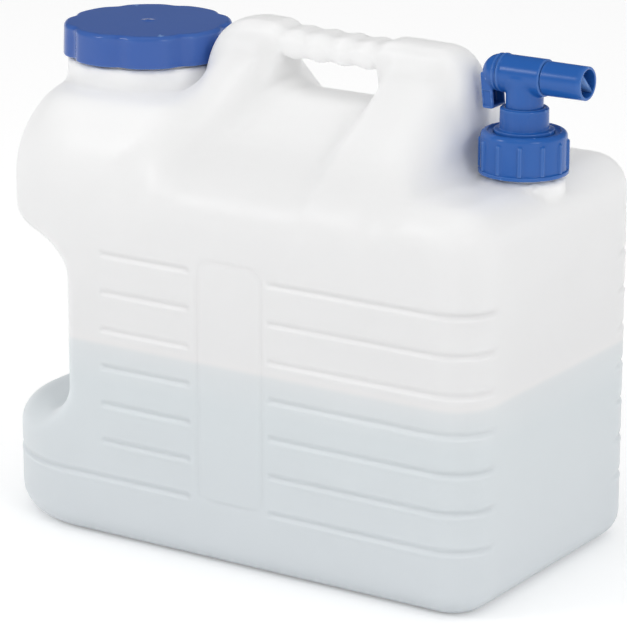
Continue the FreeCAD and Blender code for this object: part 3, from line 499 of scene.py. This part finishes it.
# Union nut: ribbed blue ring that screws on to the small neck and clamps the tap's flange on its
# ring, moulded with twelve finger ribs that run out at a round shoulder.
NUT_LOW, NUT_HIGH, NUT_RADIUS, NUT_INNER, NUT_HOLE = 237.1, 261.1, 24.4, 21.5, 17.3
NUT_PLATE_UNDER, NUT_PLATE_TOP, NUT_THREAD = 257.3, 260.0, 243.1
NUT_FOOT, RIB_COUNT, RIB_AT, RIB_RISE, RIB_HALF = 25.1, 12, math.radians(24.7), 1.2, 1.4


def nut_ribs(theta, r, z):
    """Ribs: a round-topped bar at each twelfth of a turn from the foot rim to below the shoulder; the
    thread inside."""
    turn = np.mod(theta - RIB_AT + np.pi / RIB_COUNT, 2.0 * np.pi / RIB_COUNT) - np.pi / RIB_COUNT
    across = np.abs(turn) * NUT_RADIUS
    rib = RIB_RISE * eased((RIB_HALF - across) / 0.5) * eased((NUT_HIGH - 4.2 - z) / 1.2)
    outside = (r > NUT_RADIUS - 0.01) & (r < NUT_RADIUS + 0.2)
    ridge = TAP_TOOTH * thread_ridge(theta, z, NUT_THREAD, TAP_PITCH, TAP_TURNS)
    return np.where(outside, rib, np.where(np.abs(r - NUT_INNER) < 0.01, -ridge, 0.0))


nut_profile = (
    run((NUT_HOLE, NUT_PLATE_TOP), (NUT_HOLE, NUT_PLATE_UNDER), 3)
    + run((NUT_HOLE, NUT_PLATE_UNDER), (NUT_INNER, NUT_PLATE_UNDER), 3)
    + run((NUT_INNER, NUT_PLATE_UNDER), (NUT_INNER, NUT_LOW), 60)
    + [(NUT_INNER + 0.02, NUT_LOW), (NUT_INNER + 0.4, NUT_LOW), (NUT_FOOT, NUT_LOW)]
    + arc((NUT_FOOT, NUT_LOW + 0.4), 0.4, -60, 0, 3) + [(NUT_FOOT + 0.4, NUT_LOW + 1.6)]
    + arc((NUT_FOOT, NUT_LOW + 1.8), 0.4, 0, 80, 3) + [(NUT_RADIUS + 0.25, NUT_LOW + 2.3)]
    + run((NUT_RADIUS, NUT_LOW + 2.6), (NUT_RADIUS, NUT_HIGH - 3.0), 34)
    + arc((NUT_RADIUS - 3.0, NUT_HIGH - 3.0), 3.0, 0, 90, 9)
    + [(21.1, NUT_HIGH), (20.8, NUT_HIGH - 0.2), (20.6, NUT_PLATE_TOP + 0.2), (20.3, NUT_PLATE_TOP)]
    + run((20.0, NUT_PLATE_TOP), (NUT_HOLE + 0.3, NUT_PLATE_TOP), 3))
# The third colour is the painted highlight on the tap parts' sharp edges.
blue_tap = moulded_blue("blue_tap", (0.013, 0.098, 0.375, 1.0), (0.019, 0.111, 0.410, 1.0),
                        (0.110, 0.240, 0.560, 1.0), 0.24, 420.0)
points, faces = lathe(nut_profile, 288, nut_ribs)
piece("union_nut_ring", points + [TAP_AXIS, 0.0, 0.0], faces, blue_tap, "union_nut",
      "tap_collar")


# Sleeve: turned-looking moulded socket whose flange is held down by the nut; a thin lip keeps
# dirt out of the nut's top, and the tap's stem is pressed into its bore.
FLANGE_LOW, FLANGE_TOP, LIP_TOP, SOCKET_FLOOR, SLEEVE_TOP = 254.0, 257.0, 261.9, 262.3, 274.3
SLEEVE_BORE, FLANGE_RADIUS, LIP_RADIUS, SLEEVE_RADIUS, SOCKET = 7.5, 19.6, 17.0, 13.9, 10.65
sleeve_profile = (
    run((SLEEVE_BORE, SOCKET_FLOOR), (SLEEVE_BORE, FLANGE_LOW), 4)
    + [(SLEEVE_BORE, FLANGE_LOW), (FLANGE_RADIUS - 0.2, FLANGE_LOW), (FLANGE_RADIUS, FLANGE_LOW + 0.2),
       (FLANGE_RADIUS, FLANGE_TOP - 0.2), (FLANGE_RADIUS - 0.2, FLANGE_TOP), (LIP_RADIUS, FLANGE_TOP)]
    + run((LIP_RADIUS, FLANGE_TOP + 0.3), (LIP_RADIUS, LIP_TOP - 0.5), 3)
    + arc((LIP_RADIUS - 0.5, LIP_TOP - 0.5), 0.5, 0, 90, 4)
    + arc((SLEEVE_RADIUS + 0.7, LIP_TOP + 0.7), 0.7, 270, 180, 4)
    + run((SLEEVE_RADIUS, LIP_TOP + 1.0), (SLEEVE_RADIUS - 0.1, SLEEVE_TOP - 1.1), 8)
    + arc((SLEEVE_RADIUS - 0.7, SLEEVE_TOP - 1.1), 0.6, 0, 90, 4)
    + arc((SLEEVE_RADIUS - 1.3, SLEEVE_TOP - 0.3), 0.3, 0, 90, 3)
    + run((SOCKET + 0.2, SLEEVE_TOP), (SOCKET, SLEEVE_TOP - 0.3), 2)
    + run((SOCKET, SLEEVE_TOP - 0.3), (SOCKET, SOCKET_FLOOR), 4) + [(SOCKET, SOCKET_FLOOR)])
points, faces = lathe(sleeve_profile, 120)
piece("tap_socket", points + [TAP_AXIS, 0.0, 0.0], faces, blue_tap, "tap", "tap_sleeve")


# Tee: the tap's body, injection-moulded in one piece of blue plastic as an upright stem with a
# barrel across its top. The stem is pressed into the sleeve, and the barrel is bored for the plug.
BARREL_HEIGHT, BARREL_RADIUS, BARREL_BORE, BARREL_HALF, BARREL_SHIFT = 292.0, 10.6, 8.4, 13.75, 0.25
STEM_RADIUS, STEM_BORE, REAR_RIM_AT, TEE_GRID = 10.6, 7.0, -12.5, 0.6


def tee_form(x, y, z):
    """Distance to the tee: an upright tube and a level tube with a raised rear rim, joined with a
    small fillet, less the two bores, of which the upright one ends in the level one."""
    from_stem, from_barrel = np.hypot(x, y), np.hypot(y, z - BARREL_HEIGHT)
    stem = shared(shared(from_stem - STEM_RADIUS, SOCKET_FLOOR - z, 0.5), z - BARREL_HEIGHT, 1.0)
    barrel = shared(from_barrel - BARREL_RADIUS, np.abs(x - BARREL_SHIFT) - BARREL_HALF, 0.7)
    rear_rim = shared(from_barrel - BARREL_RADIUS - 0.5, np.abs(x - REAR_RIM_AT) - 0.9, 0.4)
    bore = np.maximum(from_stem - STEM_BORE, z - BARREL_HEIGHT)
    whole = np.minimum(joined(stem, barrel, 1.6), rear_rim)
    return shared(shared(whole, BARREL_BORE - from_barrel, 0.3), -bore, 0.3)


points, faces = skin(tee_form, (
    np.arange(-15.3, 15.4, TEE_GRID), np.arange(-12.3, 12.4, TEE_GRID),
    np.arange(SOCKET_FLOOR - 1.4, BARREL_HEIGHT + 12.0, TEE_GRID)))
piece("tap_tee", points + [TAP_AXIS, 0.0, 0.0], faces, blue_tap, "tap", "tap_body")


# Plug with the spout: one moulded piece that turns in the barrel; its hollow end is the spout, with
# a thin web across it, and its other end carries the lever.
SHOULDER, SPOUT_END, SPOUT_RADIUS, SPOUT_BORE, SPOUT_FLOOR = 14.3, 39.8, 9.7, 7.9, 17.1
SPIGOT_RADIUS, SPIGOT_END, PLUG_RADIUS, PLUG_BORE, BORE_END = 6.5, -21.5, 8.35, 5.2, -6.0
plug_profile = (
    [(0.0, SPIGOT_END), (6.3, SPIGOT_END), (SPIGOT_RADIUS, -21.3), (SPIGOT_RADIUS, -13.6), (8.2, -13.5)]
    + [(PLUG_RADIUS, -13.3)] + run((PLUG_RADIUS, -10.5), (PLUG_RADIUS, 8.9), 4)
    + [(SPIGOT_RADIUS, 9.05), (SPIGOT_RADIUS, 10.95), (PLUG_RADIUS, 11.1), (PLUG_RADIUS, SHOULDER)]
    + [(9.4, SHOULDER), (SPOUT_RADIUS, SHOULDER + 0.3)]
    + run((SPOUT_RADIUS, SHOULDER + 0.6), (SPOUT_RADIUS - 0.15, SPOUT_END - 0.5), 8)
    + arc((SPOUT_RADIUS - 0.65, SPOUT_END - 0.5), 0.5, 0, 90, 4)
    + arc((SPOUT_BORE + 0.3, SPOUT_END - 0.3), 0.3, 90, 180, 3)
    + run((SPOUT_BORE, SPOUT_END - 0.5), (SPOUT_BORE, 17.2), 8)
    + [(SPOUT_BORE, SPOUT_FLOOR), (5.4, SPOUT_FLOOR), (PLUG_BORE, 16.9)]
    + run((PLUG_BORE, 16.0), (PLUG_BORE, -5.8), 5) + [(5.0, BORE_END), (0.0, BORE_END)])
points, faces = lathe(plug_profile, 96, closed=False, along="X")
WEB_HALF, WEB_REACH, WEB_START, WEB_END = 0.7, 8.6, 17.0, SPOUT_END - 0.7
corner = np.array([(sx, sy, sz) for sx in (0, 1) for sy in (-1, 1) for sz in (-1, 1)], float)
slant = math.sqrt(0.5)
web_across, web_through = corner[:, 1] * WEB_REACH, corner[:, 2] * WEB_HALF
web_points = np.stack([WEB_START + corner[:, 0] * (WEB_END - WEB_START),
                       (web_across + web_through) * slant, (-web_across + web_through) * slant], -1)
web_faces = [[0, 1, 3, 2], [4, 6, 7, 5], [0, 4, 5, 1], [2, 3, 7, 6], [0, 2, 6, 4], [1, 5, 7, 3]]
whole_faces = faces + [[index + len(points) for index in face] for face in web_faces]
piece("tap_spout", np.concatenate([points, web_points]) + [TAP_AXIS, 0.0, BARREL_HEIGHT], whole_faces,
      blue_tap, "valve", "tap_plug")


# Lever: domed cap with a short blade, moulded in the tap's blue plastic and hollow at the back so
# that it sets evenly. It is pressed on to the plug's rear spigot and turns the plug.
HEAD_RADIUS, HEAD_REAR, HEAD_SEAM, HEAD_FACE = 10.3, -25.8, -15.6, -13.8
BLADE_REAR, BLADE_LEAN, BLADE_THICK, BLADE_HALF, BLADE_DROP = -24.2, 0.1, 7.2, 7.4, 20.0
BLADE_WALL, POCKET_TOP, PANEL_AT, PANEL_TALL, LEVER_GRID = 1.7, -9.5, -14.4, 4.2, 0.5


def lever_form(x, y, z):
    """Distance to the lever: a dome on the barrel's line, a blade that leans in towards the sleeve
    under it, a pocket sunk in the blade's inner side and a blind hole for the plug's spigot."""
    from_line = np.hypot(y, z)
    behind = np.minimum(x - HEAD_SEAM, 0.0) * HEAD_RADIUS / (HEAD_SEAM - HEAD_REAR)
    dome = shared(np.hypot(from_line, behind) - HEAD_RADIUS, x - HEAD_FACE, 0.4)
    rim = shared(from_line - HEAD_RADIUS - 0.5, np.abs(x - HEAD_SEAM) - 0.8, 0.4)
    rear = BLADE_REAR - BLADE_LEAN * (z + BLADE_DROP / 2.0)
    outline = np.maximum(np.abs(y) - BLADE_HALF, np.abs(z + BLADE_DROP / 2.0) - BLADE_DROP / 2.0)
    blade = shared(shared(rear - x, x - rear - BLADE_THICK, 1.2), outline, 1.5)
    off_middle = np.abs(x - rear - BLADE_THICK / 2.0)
    panel = np.maximum(off_middle - BLADE_THICK / 2.0 + 1.3, np.abs(z - PANEL_AT) - PANEL_TALL)
    blade = shared(blade, -np.maximum(panel, BLADE_HALF - 0.7 - np.abs(y)), 0.2)
    upright = np.maximum(z - POCKET_TOP, BLADE_WALL - BLADE_DROP - z)
    recess = np.maximum(np.abs(y) - BLADE_HALF + BLADE_WALL, upright)
    pocket = shared(rear + BLADE_WALL - x, recess, 0.8)
    hole = np.maximum(from_line - SPIGOT_RADIUS, SPIGOT_END - x)
    arm = joined(np.minimum(dome, rim), shared(blade, -pocket, 0.5), 0.8)
    return shared(arm, -hole, 0.2)


points, faces = skin(lever_form, (
    np.arange(-27.3, -12.0, LEVER_GRID), np.arange(-11.8, 11.9, LEVER_GRID),
    np.arange(-21.8, 11.9, LEVER_GRID)))
piece("tap_handle", points + [TAP_AXIS, 0.0, BARREL_HEIGHT], faces, blue_tap, "valve",
      "tap_lever")


# Studio: a pale floor under a white surround that reflections see darken overhead, a key light from
# the upper left, a fill from the right, a weak one above, and the camera at the photograph's angle.
FLOOR_HALF, FLOOR_GLOW = 6.0, 0.2
scene = bpy.context.scene
scene.view_settings.view_transform = "Standard"
floor_mesh = bpy.data.meshes.new("floor")
floor_mesh.from_pydata([(-FLOOR_HALF, -FLOOR_HALF, 0.0), (FLOOR_HALF, -FLOOR_HALF, 0.0),
                        (FLOOR_HALF, FLOOR_HALF, 0.0), (-FLOOR_HALF, FLOOR_HALF, 0.0)], [], [(0, 1, 2, 3)])
floor = bpy.data.objects.new("floor", floor_mesh)
scene.collection.objects.link(floor)
pale_floor, tree, shader = paint("pale_floor", Base_Color=(0.9, 0.9, 0.9, 1.0), Roughness=0.6)
floor_mesh.materials.append(pale_floor)
seen = node(tree, "ShaderNodeLightPath")
direct = node(tree, "ShaderNodeMath", [
    (0, seen.outputs["Is Camera Ray"]), (1, seen.outputs["Is Glossy Ray"])], _operation="MAXIMUM")
shader.inputs["Emission Color"].default_value = (1.0, 1.0, 1.0, 1.0)
glow = node(tree, "ShaderNodeMath", [(0, direct.outputs[0])], _operation="MULTIPLY")
glow.inputs[1].default_value = FLOOR_GLOW
tree.links.new(glow.outputs[0], shader.inputs["Emission Strength"])

world = bpy.data.worlds.new("surround")
scene.world = world
world.use_nodes = True
tree = world.node_tree
back = tree.nodes["Background"]
back.inputs["Color"].default_value = (1.0, 1.0, 1.0, 1.0)
seen = node(tree, "ShaderNodeLightPath")
direct = node(tree, "ShaderNodeMath", [
    (0, seen.outputs["Is Camera Ray"]), (1, seen.outputs["Is Transmission Ray"])], _operation="MAXIMUM")
plain = node(tree, "ShaderNodeMapRange", [("Value", direct.outputs[0])], To_Min=0.90, To_Max=1.0)
way = node(tree, "ShaderNodeTexCoord").outputs["Generated"]
climb = node(tree, "ShaderNodeSeparateXYZ", [(0, way)]).outputs["Z"]
sweep = node(tree, "ShaderNodeMapRange", [("Value", climb)], From_Min=0.0, From_Max=0.18,
             To_Min=0.9, To_Max=0.06)
level = node(tree, "ShaderNodeMix", [(0, seen.outputs["Is Glossy Ray"]), (2, plain.outputs["Result"]),
                                     (3, sweep.outputs["Result"])])
tree.links.new(level.outputs[0], back.inputs["Strength"])


def soft_box(name, place, target, size, power):
    """A square soft light at a place, tipped up from straight down by the angle to its target and
    then turned to the target's direction on the floor."""
    lamp = bpy.data.lights.new(name, "AREA")
    lamp.shape, lamp.size, lamp.energy = "SQUARE", size, power
    made = bpy.data.objects.new(name, lamp)
    scene.collection.objects.link(made)
    toward = np.array(target) - np.array(place)
    made.location = place
    made.rotation_euler = (math.acos(-toward[2] / np.linalg.norm(toward)), 0.0,
                           math.atan2(toward[1], toward[0]) - math.pi / 2.0)


soft_box("key_light", (-1.12, -1.45, 1.36), (0.0, 0.0, 0.2), size=0.45, power=6.4)
soft_box("fill_light", (1.9, -0.9, 1.0), (0.0, 0.0, 0.15), size=0.6, power=6.0)
soft_box("top_light", (0.25, -0.55, 2.2), (0.0, 0.0, 0.2), size=0.5, power=1.0)

AZIMUTH, ELEVATION, DISTANCE, AIM = 0.58138, 0.29297, 2.03407, (0.007, 0.0, 0.12688)
FOCAL_PIXELS, PHOTO_HEIGHT, SENSOR = 3448.35, 640.0, 36.0
lens = bpy.data.cameras.new("photo_camera")
lens.sensor_fit, lens.sensor_height = "VERTICAL", SENSOR
lens.lens = FOCAL_PIXELS / PHOTO_HEIGHT * SENSOR
camera = bpy.data.objects.new("photo_camera", lens)
scene.collection.objects.link(camera)
camera.location = (AIM[0] + DISTANCE * math.cos(ELEVATION) * math.sin(AZIMUTH),
                   AIM[1] - DISTANCE * math.cos(ELEVATION) * math.cos(AZIMUTH),
                   AIM[2] + DISTANCE * math.sin(ELEVATION))
camera.rotation_euler = (math.pi / 2.0 - ELEVATION, 0.0, AZIMUTH)
scene.camera = camera
